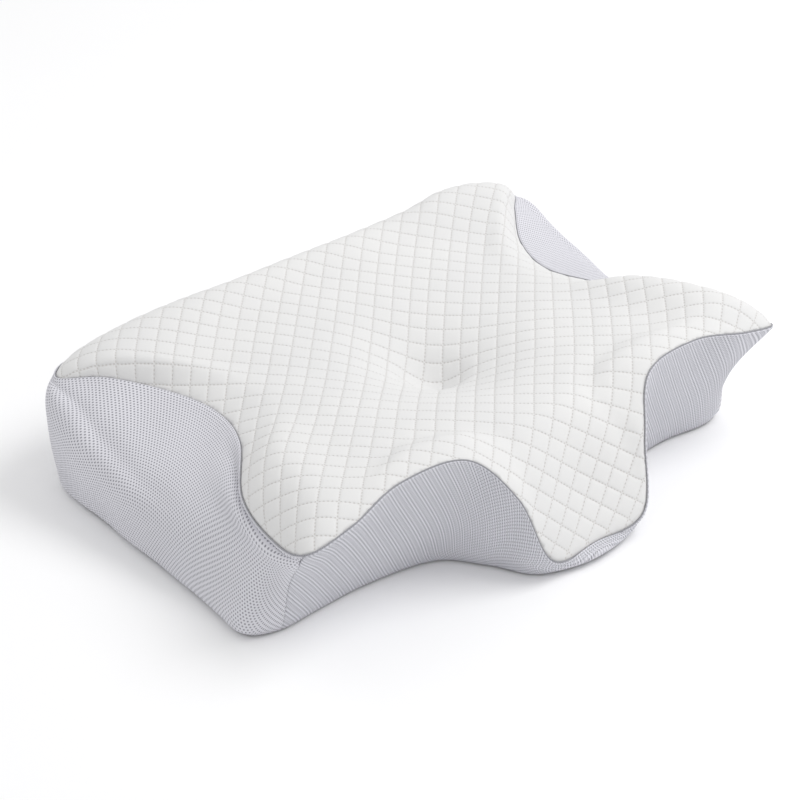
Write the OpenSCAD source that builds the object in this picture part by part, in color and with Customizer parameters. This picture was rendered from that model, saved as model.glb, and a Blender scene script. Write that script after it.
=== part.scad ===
// Contour neck pillow: a moulded foam core in an inner liner and a sewn, zipped cover.
// X runs across the shoulders, -Y is the edge under the neck, +Y the edge behind the head.
// The origin lies on the surface the pillow rests on.

/* [Pillow] */
// Thickness of the quilted and mesh cover fabrics
cover_t = 3; // [2.8:0.1:3.4]
// Thickness of the inner liner fabric
liner_t = 0.8; // [0.5:0.1:1]
// Air between one layer and the next
layer_gap = 0.2; // [0.1:0.05:0.3]
// Height of the rounded lower edge
belly_h = 14; // [10:1:18]
// How far the seam round the base lies inside the widest outline
base_inset = 5; // [3:0.5:7]
// Height of the seam round the base
base_seam_h = 2.6; // [2.2:0.1:3.5]
// Radius of the piping laid along the sewn edges
piping_r = 0.9; // [0.6:0.1:1.2]

/* [Head cradle] */
// Height of the top in the middle of the cradle
cradle_h = 66; // [60:1:76]
// Distance from the middle of the cradle to its rim
cradle_r = 115; // [105:1:120]

/* [Zip] */
// Length of the zip across the back wall
zip_len = 300; // [300:1:300]
// Height of the zip above the base
zip_z = 48; // [44:1:52]
// Height of the strip that the zip fills, panel edge to panel edge
zip_strip = 16; // [14:1:20]
// Spacing of the coil's turns
coil_pitch = 2.5; // [2:0.5:4]
// Length of the slider
slider_l = 9; // [8:0.5:11]
// Height of the slider
slider_w = 7.4; // [7:0.2:9]
// Travel of the slider from shut to open
slider_travel = 260; // [220:5:270]
// Length of the pull tab from its pin
pull_l = 24; // [18:1:30]

/* [Care label] */
// Width of the sewn label
label_w = 30; // [20:1:40]
// Height of the sewn label
label_h = 26; // [20:1:30]

/* [Hidden] */

// Half outline from the middle of the back, round the right side, to the middle of the front.
// Seam: where the quilted top meets the walls, as x, y, z, and then the height of the crown
// that the top makes just inside the seam.
seam_half = [[0, 222, 88, 124], [75, 222, 88, 124], [150, 222, 88, 125], [200, 222, 88, 127],
             [240, 208, 97, 127], [260, 184, 101, 125], [234, 154, 105, 120], [202, 112, 98, 111],
             [188, 64, 95, 106], [202, 14, 96, 108], [240, -38, 86, 117], [256, -92, 84, 121],
             [262, -140, 96, 121], [221, -146, 106, 121], [165, -137, 116, 122], [102, -144, 113, 117],
             [71, -171, 76, 101], [52, -192, 20, 78], [0, -191, 14, 72]];
// Waist: the soft crease below the arm hollow, and the tuck under the wings.
waist_half = [[0, 222, 50], [75, 222, 50], [150, 222, 50], [200, 222, 60], [246, 205, 78],
              [276, 180, 82], [278, 144, 72], [272, 95, 62], [266, 46, 58], [262, -6, 57],
              [260, -54, 58], [262, -92, 56], [250, -118, 54], [216, -126, 54], [164, -124, 56],
              [104, -131, 54], [76, -157, 38], [54, -187, 16], [0, -194, 10]];
// Belly: the widest outline, just above the base.
belly_half = [[0, 222], [75, 222], [150, 222], [200, 222], [242, 206], [270, 180], [276, 142],
              [277, 95], [278, 45], [279, -9], [279, -58], [270, -97], [243, -112], [212, -114],
              [164, -113], [107, -121], [80, -146], [56, -183], [0, -197]];

// Height of the top along the middle and through the side lobes, as y and z, before the cradle
// is sunk into it.
middle_profile = [[300, 118], [200, 123], [140, 114], [85, 107], [30, 104], [-45, 106],
                  [-105, 108], [-160, 99], [-220, 80]];
lobe_profile = [[300, 120], [200, 126], [140, 116], [85, 109], [30, 109], [-45, 112],
                [-105, 113], [-160, 108], [-220, 90]];

steps = 3;              // stations between two points of the outline
wall_rings = 6;         // strips between the top seam and the base seam
crown_at = 0.85;        // share of the way out to the seam at which the crown lies
edge_turn = 0.97;       // knot beyond the seam, below 1 so that the top drops steeply to the seam
lobe_x = 175;           // distance from the middle at which the side lobes are reached
top_rings = [6, 5.7, 5.4, 5, 4.4, 3.7, 3, 2.4, 1.8, 1.2, 0.6];     // counted in knots
hub = [0, 8];           // plan point in the middle of the cradle
base_ring_inset = 10;   // how far in the base panel becomes flat
tip = 12;               // outline point at the tip of a wing
back_end = 2;           // outline point where the flat back wall ends
tube_sides = 6;
liner_d = cover_t + layer_gap;
foam_d = liner_d + liner_t + layer_gap;
back_y = seam_half[0][1];
tape_t = 0.8;
coil_t = 1.6;
coil_y = back_y - 1.8;                  // inner face of the coil
tape_y = coil_y + 0.4;
coil_w = 1.8;                           // height of one half of the coil
slit = 0.6;                             // half the slit between the coil's halves
clear = 0.35;
plate_t = 1.2;
plate_y = back_y + 0.3;
pin_r = 0.7;
pin_y = plate_y + plate_t + 1.9;
eye_r = 1.5;
slider_x = -slider_travel / 2;
stop_x = slider_travel / 2 + slider_l / 2 + 2;

// One span of a smooth curve through points, and its slope.
function span(a, b, c, d, t) =
    0.5 * (2 * b + (c - a) * t + (2 * a - 5 * b + 4 * c - d) * t ^ 2 + (3 * b - a - 3 * c + d) * t ^ 3);
function slope(a, b, c, d, t) =
    0.5 * (c - a + 2 * (2 * a - 5 * b + 4 * c - d) * t + 3 * (3 * b - a - 3 * c + d) * t ^ 2);
function wrap(list, i) = list[(i + len(list)) % len(list)];

// The whole outline from one half, then its stations and their inward normals.
function both_sides(half) =
    concat(half, [for (i = [len(half) - 2 : -1 : 1])
        [for (k = [0 : len(half[i]) - 1]) k == 0 ? -half[i][0] : half[i][k]]]);
function stations(half) =
    let (p = both_sides(half))
    [for (i = [0 : len(p) - 1], s = [0 : steps - 1])
        span(wrap(p, i - 1), p[i], wrap(p, i + 1), wrap(p, i + 2), s / steps)];
function inward(half) =
    let (p = both_sides(half))
    [for (i = [0 : len(p) - 1], s = [0 : steps - 1])
        let (g = slope(wrap(p, i - 1), p[i], wrap(p, i + 1), wrap(p, i + 2), s / steps))
        [g[1], -g[0]] / norm([g[0], g[1]])];

seam = stations(seam_half);
seam_n = inward(seam_half);
waist = stations(waist_half);
waist_n = inward(waist_half);
belly = stations(belly_half);
belly_n = inward(belly_half);
count = len(seam);

// Share of the wall's height at which the waist and the belly lie.
waist_share = [for (i = [0 : count - 1]) (waist[i][2] - base_seam_h) / (seam[i][2] - base_seam_h)];
belly_share = [for (i = [0 : count - 1])
    (min(belly_h, 0.55 * seam[i][2]) - base_seam_h) / (seam[i][2] - base_seam_h)];

// A point at height z, so far inside the belly, and a ring of them.
function base_point(i, inset, z) =
    [belly[i][0] + belly_n[i][0] * inset, belly[i][1] + belly_n[i][1] * inset, z];
function base_ring(inset, z) = [for (i = [0 : count - 1]) base_point(i, inset, z)];
// A point of the wall of the layer lying d inside the cover: t is 0 at the top seam, 1 at the
// waist, 2 at the belly and 3 at the base seam.
function wall_point(i, d, t) =
    let (s = [seam[i][0] + seam_n[i][0] * d, seam[i][1] + seam_n[i][1] * d, seam[i][2] - d])
    let (low = base_seam_h + 0.6 * d)
    let (e = base_point(i, base_inset + d, low))
    let (u = [waist[i][0] + waist_n[i][0] * d, waist[i][1] + waist_n[i][1] * d,
              low + (s[2] - low) * waist_share[i]])
    let (b = base_point(i, d, low + (s[2] - low) * belly_share[i]))
    t < 1 ? span(2 * s - u, s, u, b, t) :
    t < 2 ? span(s, u, b, e, t - 1) : span(u, b, e, 2 * e - b, t - 2);
function wall_ring(d, k) = [for (i = [0 : count - 1]) wall_point(i, d, 3 * k / wall_rings)];
function wall_section(i, d) = [for (k = [0 : wall_rings]) wall_point(i, d, 3 * k / wall_rings)];

// Height of the top between the crown and the middle of the cradle.
function along(profile, y, i = 1) =
    (y > profile[i + 1][0] || i == len(profile) - 3) ?
        span(profile[i - 1][1], profile[i][1], profile[i + 1][1], profile[i + 2][1],
             (y - profile[i][0]) / (profile[i + 1][0] - profile[i][0])) :
        along(profile, y, i + 1);
function ease(t) = let (u = min(1, t)) u * u * (3 - 2 * u);
function unsunk(x, y) =
    let (w = ease(abs(x) / lobe_x))
    along(middle_profile, y) * (1 - w) + along(lobe_profile, y) * w;
cradle_d = unsunk(hub[0], hub[1]) - cradle_h;
function top_height(x, y) =
    unsunk(x, y) - cradle_d * (1 - min(1, norm([x - hub[0], y - hub[1]]) / cradle_r)) ^ 2;

// A point of the top. u counts knots: the middle of the cradle is 0, its rim 3, the crown 5 and
// the seam 6.
function top_point(i, d, u) =
    let (k = min(5, floor(u)), n = seam_n[i], s = seam[i])
    let (reach = norm([s[0] - hub[0], s[1] - hub[1]]))
    let (near = [cradle_r / 3, cradle_r * 2 / 3, cradle_r, (cradle_r + crown_at * reach) / 2])
    let (h = [for (r = near)
        top_height(hub[0] + (s[0] - hub[0]) * r / reach, hub[1] + (s[1] - hub[1]) * r / reach)])
    let (z = [h[0], cradle_h, each h, s[3], s[2], 2 * s[2] - s[3]])
    let (r = [-near[0], 0, each near, crown_at * reach, reach, edge_turn * reach])
    let (out = span(r[k], r[k + 1], r[k + 2], r[k + 3], u - k) / reach)
    [hub[0] + (s[0] + n[0] * d - hub[0]) * out, hub[1] + (s[1] + n[1] * d - hub[1]) * out,
     span(z[k], z[k + 1], z[k + 2], z[k + 3], u - k) - d];
function top_ring(d, u) = [for (i = [0 : count - 1]) top_point(i, d, u)];
function top_middle(d) = [hub[0], hub[1], cradle_h - d];
// Rings of the top from the middle out to the seam.
function top_skin(d) = [for (k = [len(top_rings) - 1 : -1 : 0]) top_ring(d, top_rings[k])];
// Rings of the wall from below the top seam down to the base seam.
function wall_skin(d) = [for (k = [1 : wall_rings]) wall_ring(d, k)];
function reversed(list) = [for (i = [len(list) - 1 : -1 : 0]) list[i]];

// A closed solid from closed rings, with a point to close each end. Rings from number back on
// run the other way, so their faces are split the other way and match those of the next layer.
module ring_solid(rings, first, last, back) {
    n = len(rings[0]);
    rows = len(rings);
    points = concat([for (r = rings, p = r) p], [first, last]);
    walls = [for (r = [0 : rows - 2], i = [0 : n - 1])
        let (j = (i + 1) % n, a = r * n + i, b = r * n + j, c = (r + 1) * n + i, e = (r + 1) * n + j)
        each (r < back ? [[a, c, e], [a, e, b]] : [[a, c, b], [b, c, e]])];
    caps = [for (i = [0 : n - 1])
        let (j = (i + 1) % n)
        each [[rows * n, i, j], [rows * n + 1, (rows - 1) * n + j, (rows - 1) * n + i]]];
    polyhedron(points = points, faces = concat(walls, caps), convexity = 8);
}

// A closed solid between an outer and an inner skin, from open cross-sections.
module strip_solid(outer, inner) {
    k = len(outer[0]);
    m = len(outer);
    points = concat([for (s = outer, p = s) p], [for (s = inner, p = s) p]);
    o = function (s, r) s * k + r;
    q = function (s, r) m * k + s * k + r;
    skins = [for (s = [0 : m - 2], r = [0 : k - 2]) each [
        [o(s, r), o(s, r + 1), o(s + 1, r + 1)], [o(s, r), o(s + 1, r + 1), o(s + 1, r)],
        [q(s, r), q(s + 1, r + 1), q(s, r + 1)], [q(s, r), q(s + 1, r), q(s + 1, r + 1)]]];
    edges = [for (s = [0 : m - 2]) each [
        [o(s, 0), o(s + 1, 0), q(s + 1, 0)], [o(s, 0), q(s + 1, 0), q(s, 0)],
        [o(s, k - 1), q(s + 1, k - 1), o(s + 1, k - 1)], [o(s, k - 1), q(s, k - 1), q(s + 1, k - 1)]]];
    ends = [for (r = [0 : k - 2]) each [
        [o(0, r), q(0, r), q(0, r + 1)], [o(0, r), q(0, r + 1), o(0, r + 1)],
        [o(m - 1, r), q(m - 1, r + 1), q(m - 1, r)], [o(m - 1, r), o(m - 1, r + 1), q(m - 1, r + 1)]]];
    polyhedron(points = points, faces = concat(skins, edges, ends), convexity = 8);
}

// A round tube along stations, closed into a loop or with two ends.
module tube(path, outs, r, loop) {
    n = len(path);
    rings = [for (i = [0 : n - 1])
        let (before = loop ? wrap(path, i - 1) : path[max(0, i - 1)])
        let (after = loop ? wrap(path, i + 1) : path[min(n - 1, i + 1)])
        let (way = (after - before) / norm(after - before))
        let (flat = outs[i] - way * (outs[i] * way), u = flat / norm(flat), v = cross(way, u))
        [for (a = [0 : tube_sides - 1]) path[i] + r * (u * cos(a * 360 / tube_sides) + v * sin(a * 360 / tube_sides))]];
    points = [for (ring = rings, p = ring) p];
    last = loop ? n - 1 : n - 2;
    skin = [for (i = [0 : last], a = [0 : tube_sides - 1])
        let (j = (i + 1) % n, b = (a + 1) % tube_sides)
        each [[i * tube_sides + a, i * tube_sides + b, j * tube_sides + b],
              [i * tube_sides + a, j * tube_sides + b, j * tube_sides + a]]];
    ends = loop ? [] : [[for (a = [tube_sides - 1 : -1 : 0]) a],
                        [for (a = [0 : tube_sides - 1]) (n - 1) * tube_sides + a]];
    polyhedron(points = points, faces = concat(skin, ends), convexity = 8);
}

// A stretch of the cover's wall from one station to another.
module wall_strip(first, last) {
    strip_solid([for (i = [first : last]) wall_section(i % count, 0)],
                [for (i = [first : last]) wall_section(i % count, cover_t)]);
}

// The flat back wall's section, extruded along X.
module back_wall() {
    outer = wall_section(0, 0);
    inner = wall_section(0, cover_t);
    translate([-zip_len / 2, 0, 0])
        rotate([90, 0, 90])
            linear_extrude(zip_len)
                polygon([for (p = concat(outer, reversed(inner))) [p[1], p[2]]]);
}

module foam_core() {
    color("#f2ead2")
        ring_solid(concat(top_skin(foam_d), wall_skin(foam_d), [base_ring(foam_d + base_ring_inset, foam_d)]),
                   top_middle(foam_d), [hub[0], hub[1], foam_d], 100);
}

module liner_upper() {
    inner_d = liner_d + liner_t;
    color("#e9e9ec")
        ring_solid(concat(top_skin(liner_d), wall_skin(liner_d), reversed(wall_skin(inner_d)),
                          reversed(top_skin(inner_d))),
                   top_middle(liner_d), top_middle(inner_d), len(top_rings) + wall_rings);
}

module liner_base() {
    color("#dfe0e4")
        base_layer(liner_d, liner_d + liner_t);
}

// A flat bottom layer between the heights d_low and d_high.
module base_layer(d_low, d_high) {
    ring_solid([base_ring(d_high + base_ring_inset, d_high), wall_ring(d_high, wall_rings),
                wall_ring(d_low, wall_rings), base_ring(d_low + base_ring_inset, d_low)],
               [hub[0], hub[1], d_high], [hub[0], hub[1], d_low], 2);
}

module top_panel() {
    color("#f4f4f2")
        ring_solid(concat(top_skin(0), reversed(top_skin(cover_t))), top_middle(0), top_middle(cover_t),
                   len(top_rings));
}

module side_panel_right() {
    color("#c9cbd3") wall_strip(back_end * steps, tip * steps);
}

module side_panel_left() {
    color("#c9cbd3") wall_strip(count - tip * steps, count - back_end * steps);
}

module front_panel() {
    color("#c4c6cf") wall_strip(tip * steps, count - tip * steps);
}

module back_panel_upper() {
    color("#c9cbd3")
        intersection() {
            back_wall();
            translate([-zip_len, 0, zip_z + zip_strip / 2]) cube([2 * zip_len, 2 * back_y, 100]);
        }
}

module back_panel_lower() {
    color("#c9cbd3")
        intersection() {
            back_wall();
            translate([-zip_len, 0, zip_z - zip_strip / 2 - 100]) cube([2 * zip_len, 2 * back_y, 100]);
        }
}

module base_panel() {
    color("#b9bbc4") base_layer(0, cover_t);
}

module top_piping() {
    color("#8e9098")
        tube([for (i = [0 : count - 1])
                 [seam[i][0], seam[i][1], seam[i][2]]
                 + (piping_r + 0.1) * [-0.8 * seam_n[i][0], -0.8 * seam_n[i][1], 0.6]],
             [for (i = [0 : count - 1]) [seam_n[i][0], seam_n[i][1], 0]], piping_r, true);
}

module base_piping() {
    color("#8e9098")
        tube([for (i = [0 : count - 1])
                 wall_point(i, 0, 3) + (piping_r + 0.1) * [-0.9 * belly_n[i][0], -0.9 * belly_n[i][1], -0.45]],
             [for (i = [0 : count - 1]) [belly_n[i][0], belly_n[i][1], 0]], piping_r, true);
}

// The sewn join between a side panel and the front panel, at the tip of a wing.
module corner_seam(i) {
    section = wall_section(i, 0);
    out = [-waist_n[i][0], -waist_n[i][1], 0];
    color("#9a9ca5")
        tube([for (k = [1 : wall_rings - 1]) section[k] + (piping_r + 0.15) * out],
             [for (k = [1 : wall_rings - 1]) [out[1], -out[0], 0]], 0.8 * piping_r, false);
}

module corner_seam_right() {
    corner_seam(tip * steps);
}

module corner_seam_left() {
    corner_seam(count - tip * steps);
}

module zip_tape(side) {
    low = slit + coil_w;
    high = zip_strip / 2;
    color("#d9dade")
        translate([-zip_len / 2, tape_y, zip_z + (side > 0 ? low : -high)])
            cube([zip_len, tape_t, high - low]);
}

module zip_tape_upper() {
    zip_tape(1);
}

module zip_tape_lower() {
    zip_tape(-1);
}

// One half of the coil: a bead with a row of turns along the slit.
module zip_coil(side) {
    turns = floor(zip_len / coil_pitch);
    bead = 0.7;
    color("#e6e7ea")
        translate([0, coil_y, zip_z])
            rotate([90, 0, 0])
                mirror([0, 0, 1])
                    linear_extrude(coil_t)
                        mirror([0, side > 0 ? 0 : 1])
                            polygon(concat(
                                [[zip_len / 2, slit + coil_w], [-zip_len / 2, slit + coil_w],
                                 [-zip_len / 2, slit + coil_w - bead]],
                                [for (i = [0 : turns - 1])
                                    let (x = -zip_len / 2 + (i + 0.2 + (side > 0 ? 0 : 0.2)) * coil_pitch)
                                    each [[x, slit + coil_w - bead], [x + 0.1 * coil_pitch, slit],
                                          [x + 0.4 * coil_pitch, slit], [x + 0.5 * coil_pitch, slit + coil_w - bead]]],
                                [[zip_len / 2, slit + coil_w - bead]]));
}

module zip_coil_upper() {
    zip_coil(1);
}

module zip_coil_lower() {
    zip_coil(-1);
}

module zip_stops() {
    color("#b5b7bd")
        for (x = [-stop_x, stop_x])
            translate([x - 1.2, coil_y + coil_t, zip_z - slit - coil_w])
                cube([2.4, 1.2, 2 * (slit + coil_w)]);
}

module zip_slider() {
    inner_plate_t = 0.7;
    inner_y = coil_y - clear - inner_plate_t;
    flange = 0.8;
    color("#c3c5ca")
        translate([slider_x, 0, zip_z]) {
            difference() {
                union() {
                    translate([-slider_l / 2, plate_y, -slider_w / 2]) cube([slider_l, plate_t, slider_w]);
                    translate([-slider_l / 2, inner_y, -slider_w / 2]) cube([slider_l, inner_plate_t, slider_w]);
                    for (z = [-slider_w / 2, slider_w / 2 - flange])
                        translate([-slider_l / 2, tape_y + tape_t + clear, z])
                            cube([slider_l, plate_y - tape_y - tape_t - clear, flange]);
                    translate([slider_l / 2 - 2.5, inner_y, -0.25])
                        cube([2, plate_y - inner_y + 0.5, 0.5]);
                }
                // Rounded nose and heel.
                for (x = [-1, 1], z = [-1, 1])
                    translate([x * slider_l / 2, 0, z * slider_w / 2])
                        rotate([-90, 0, 0])
                            cylinder(h = back_y + 20, r = 1.6, $fn = 24);
            }
            // Lugs and pin of the pull.
            for (z = [-2.3, 1.6])
                translate([-1.5, plate_y + plate_t - 0.1, z]) cube([3, pin_y - plate_y - plate_t + 1.1, 0.7]);
            translate([0, pin_y, -2.3]) cylinder(h = 4.6, r = pin_r, $fn = 32);
        }
}

module zip_pull() {
    eye_h = 2.6;
    tab_t = 1.1;
    tab_w = 5;
    color("#b5b7bd")
        translate([slider_x, pin_y, zip_z])
            difference() {
                union() {
                    translate([0, 0, -eye_h / 2]) cylinder(h = eye_h, r = eye_r, $fn = 32);
                    translate([eye_r - 0.5, -tab_t / 2, -eye_h / 2]) cube([4, tab_t, eye_h]);
                    rotate([90, 0, 0])
                        translate([0, 0, -tab_t / 2])
                            linear_extrude(tab_t)
                                union() {
                                    translate([4, -tab_w / 2]) square([pull_l - 4 - tab_w / 2, tab_w]);
                                    translate([pull_l - tab_w / 2, 0]) circle(r = tab_w / 2, $fn = 32);
                                }
                }
                translate([0, 0, -eye_h]) cylinder(h = 2 * eye_h, r = pin_r + 0.06, $fn = 32);
                translate([pull_l - tab_w / 2, 5, 0]) rotate([90, 0, 0]) cylinder(h = 10, r = 1.2, $fn = 32);
            }
}

module care_label() {
    color("#fbfbfb")
        translate([110, back_y + 0.5, belly_h - 6]) cube([label_w, 0.6, label_h]);
}

foam_core();
liner_upper();
liner_base();
top_panel();
side_panel_left();
side_panel_right();
front_panel();
back_panel_upper();
back_panel_lower();
base_panel();
top_piping();
base_piping();
corner_seam_left();
corner_seam_right();
zip_tape_upper();
zip_tape_lower();
zip_coil_upper();
zip_coil_lower();
zip_stops();
zip_slider();
zip_pull();
care_label();
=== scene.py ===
"""Looks of a contour neck pillow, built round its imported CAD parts.

Shapes are worked out in millimetres and turned into metres when a mesh is made.
X runs across the shoulders, +Y is the edge behind the head, and Z is up from the bed."""

import math

import bpy
import numpy as np
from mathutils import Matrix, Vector
from mathutils.geometry import delaunay_2d_cdt


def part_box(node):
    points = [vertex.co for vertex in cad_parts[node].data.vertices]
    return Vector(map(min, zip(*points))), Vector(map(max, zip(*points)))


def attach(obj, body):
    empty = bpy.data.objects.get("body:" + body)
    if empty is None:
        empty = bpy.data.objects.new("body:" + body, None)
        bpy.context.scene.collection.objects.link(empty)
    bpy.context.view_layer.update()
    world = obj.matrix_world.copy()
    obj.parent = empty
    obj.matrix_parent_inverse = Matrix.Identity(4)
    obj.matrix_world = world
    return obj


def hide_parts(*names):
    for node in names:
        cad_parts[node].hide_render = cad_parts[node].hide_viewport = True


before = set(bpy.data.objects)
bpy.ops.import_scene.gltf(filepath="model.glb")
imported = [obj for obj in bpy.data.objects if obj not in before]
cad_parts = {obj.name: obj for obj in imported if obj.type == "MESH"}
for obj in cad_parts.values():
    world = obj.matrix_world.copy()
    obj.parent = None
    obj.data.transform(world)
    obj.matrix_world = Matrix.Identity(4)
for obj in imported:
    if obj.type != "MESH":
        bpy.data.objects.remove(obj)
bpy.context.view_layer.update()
MM = 0.001

# ---------------------------------------------------------------- pattern of the pillow
# Half outlines from the middle of the back, round one side, to the middle of the front.
# The seam rows give x, y, z and the height of the crown just inside the seam.
SEAM = [(0, 222, 88, 124), (75, 222, 88, 124), (150, 222, 88, 125), (200, 222, 88, 127),
        (240, 208, 97, 127), (260, 184, 101, 125), (234, 154, 105, 120), (202, 112, 98, 111),
        (188, 64, 95, 106), (202, 14, 96, 108), (240, -38, 86, 117), (256, -92, 84, 121),
        (262, -140, 96, 121), (221, -146, 106, 121), (165, -137, 116, 122), (102, -144, 113, 117),
        (71, -171, 76, 101), (52, -192, 20, 78), (0, -191, 14, 72)]
WAIST = [(0, 222, 50), (75, 222, 50), (150, 222, 50), (200, 222, 60), (246, 205, 78),
         (276, 180, 82), (278, 144, 72), (272, 95, 62), (266, 46, 58), (262, -6, 57),
         (260, -54, 58), (262, -92, 56), (250, -118, 54), (216, -126, 54), (164, -124, 56),
         (104, -131, 54), (76, -157, 38), (54, -187, 16), (0, -194, 10)]
BELLY = [(0, 222), (75, 222), (150, 222), (200, 222), (242, 206), (270, 180), (276, 142),
         (277, 95), (278, 45), (279, -9), (279, -58), (270, -97), (243, -112), (212, -114),
         (164, -113), (107, -121), (80, -146), (56, -183), (0, -197)]
# Where the soft cover settles a little differently on one side than on the other.
SEAM_LEFT = {3: (200, 222, 88, 123), 4: (240, 208, 97, 122), 5: (260, 184, 101, 121), 10: (240, -38, 86, 113),
             11: (256, -92, 84, 114), 12: (262, -140, 96, 115), 13: (221, -146, 106, 117)}
SEAM_RIGHT = {3: (200, 222, 88, 131), 4: (240, 208, 97, 132), 5: (260, 184, 101, 129),
              10: (240, -38, 86, 120), 11: (256, -92, 84, 127), 12: (262, -140, 96, 127)}
WAIST_LEFT = {12: (256, -114, 54), 13: (218, -118, 54), 14: (165, -118, 56)}
WAIST_RIGHT = {10: (256, -54, 58), 11: (244, -98, 56), 12: (234, -120, 54)}
BELLY_LEFT = {10: (282, -56), 11: (282, -90), 12: (256, -104), 13: (216, -103),
              14: (165, -103), 15: (107, -114)}
BELLY_RIGHT = {10: (262, -62), 11: (240, -106), 12: (226, -116), 13: (206, -118)}

# Front-to-back profiles of the top, as y and height: down the middle, and through a side lobe.
MIDDLE = [(300, 118), (200, 123), (140, 114), (85, 107), (30, 104),
          (-45, 106), (-105, 108), (-160, 99), (-220, 80)]
LOBE = [(300, 120), (200, 126), (140, 116), (85, 109), (30, 109),
        (-45, 112), (-105, 113), (-160, 108), (-220, 90)]
LOBE_X = 175
HUB = np.array([0.0, 8.0])
CRADLE_H, CRADLE_R = 66, 115
CROWN_AT, EDGE_TURN = 0.85, 0.97
BASE_SEAM_H, BASE_INSET, BELLY_H = 2.6, 5, 14
LINER_D, FOAM_D = 3.2, 4.2     # how deep the liner and the foam lie under the cover
ZIP_LEN, ZIP_Z, ZIP_STRIP = 300, 48, 16
PER = 20                 # stations between two points of an outline
CELL = 16.2              # side of a quilted diamond
STITCHES = 5             # stitch holes along one side of a diamond
SHARES = 600             # steps of the height table from the middle of the cradle to the seam
THREAD_PITCH = 10.0      # between threads of the net that settles over the top
SETTLE_STEPS = 1100      # steps that the net is given to settle
SEAM_YARN, BASE_YARN = 0.55, 0.8      # radius of the yarn along the top and corner seams, and round the base


def smooth(a, b, c, d, t):
    """A smooth span from b to c, led in from a and out to d."""
    return 0.5 * (2 * b + (c - a) * t + (2 * a - 5 * b + 4 * c - d) * t ** 2
                  + (3 * b - a - 3 * c + d) * t ** 3)


def outline(half, left, right):
    """The closed outline and its inward normals at every station."""
    rights = [np.array(right.get(i, p), float) for i, p in enumerate(half)]
    lefts = [np.array(left.get(i, p), float) for i, p in enumerate(half)]
    for p in lefts:
        p[0] = -p[0]
    p = np.array(rights + lefts[-2:0:-1])
    t = (np.arange(PER) / PER)[None, :, None]
    a, b, c, d = (np.roll(p, k, 0)[:, None, :] for k in (1, 0, -1, -2))
    points = smooth(a, b, c, d, t).reshape(-1, p.shape[1])
    way = np.roll(points, -1, 0)[:, :2] - np.roll(points, 1, 0)[:, :2]
    inward = np.stack([way[:, 1], -way[:, 0]], 1)
    return points, inward / np.linalg.norm(inward, axis=1)[:, None]


seam, seam_in = outline(SEAM, SEAM_LEFT, SEAM_RIGHT)
waist, waist_in = outline(WAIST, WAIST_LEFT, WAIST_RIGHT)
belly, belly_in = outline(BELLY, BELLY_LEFT, BELLY_RIGHT)
COUNT = len(seam)
TIP_R, TIP_L = 12 * PER, COUNT - 12 * PER
END_R, END_L = 2 * PER, COUNT - 2 * PER


# ---------------------------------------------------------------- form of the top
def along(profile, y):
    """Height of a front-to-back profile at y."""
    p = np.array(profile, float)
    k = np.clip(np.searchsorted(-p[:, 0], -y, side="right") - 1, 1, len(p) - 3)
    t = (y - p[k, 0]) / (p[k + 1, 0] - p[k, 0])
    return smooth(p[k - 1, 1], p[k, 1], p[k + 1, 1], p[k + 2, 1], t)


def ease(t):
    t = np.minimum(1, t)
    return t * t * (3 - 2 * t)


def unsunk(x, y):
    """Height before the cradle is sunk in."""
    w = ease(np.abs(x) / LOBE_X)
    return along(MIDDLE, y) * (1 - w) + along(LOBE, y) * w


def inner_height(x, y):
    sink = unsunk(HUB[:1], HUB[1:])[0] - CRADLE_H
    return unsunk(x, y) - sink * (1 - np.minimum(1, np.hypot(x - HUB[0], y - HUB[1]) / CRADLE_R)) ** 2


spoke = seam[:, :2] - HUB
turn = np.unwrap(np.arctan2(spoke[:, 1], spoke[:, 0]))     # falls steadily round the outline
reach = np.linalg.norm(spoke, axis=1)


def top_table():
    """Height of the top at every station, at even steps from the middle of the cradle to the seam."""
    crown = CROWN_AT * reach
    rings = [np.full(COUNT, CRADLE_R / 3), np.full(COUNT, CRADLE_R * 2 / 3), np.full(COUNT, float(CRADLE_R)),
             (CRADLE_R + crown) / 2]
    h = [inner_height(*(HUB + spoke * (r / reach)[:, None]).T) for r in rings]
    z = [h[0], np.full(COUNT, float(CRADLE_H)), *h, seam[:, 3], seam[:, 2], 2 * seam[:, 2] - seam[:, 3]]
    r = [-rings[0], np.zeros(COUNT), *rings, crown, reach, EDGE_TURN * reach]
    steps = [np.linspace(0, 1, 81)[:, None]] * 6
    out = np.concatenate([smooth(*r[k:k + 4], t)[:-1] for k, t in enumerate(steps)] + [reach[None]])
    up = np.concatenate([smooth(*z[k:k + 4], t)[:-1] for k, t in enumerate(steps)] + [seam[:, 2][None]])
    out = np.maximum.accumulate(out, axis=0) / reach
    return np.array([np.interp(np.linspace(0, 1, SHARES + 1), out[:, i], up[:, i]) for i in range(COUNT)])


TOP = top_table()


def bearing(x, y):
    """For plan points: the station they look towards, and how far out they are as a share of the way."""
    a = np.arctan2(y - HUB[1], x - HUB[0])
    lead = turn[0]
    a = lead - np.mod(lead - a, 2 * math.pi)
    table_a = np.append(turn, turn[0] - 2 * math.pi)
    station = np.interp(-a, -table_a, np.arange(COUNT + 1))
    r = np.interp(station, np.arange(COUNT + 1), np.append(reach, reach[0]))
    return station, np.hypot(x - HUB[0], y - HUB[1]) / r


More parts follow.
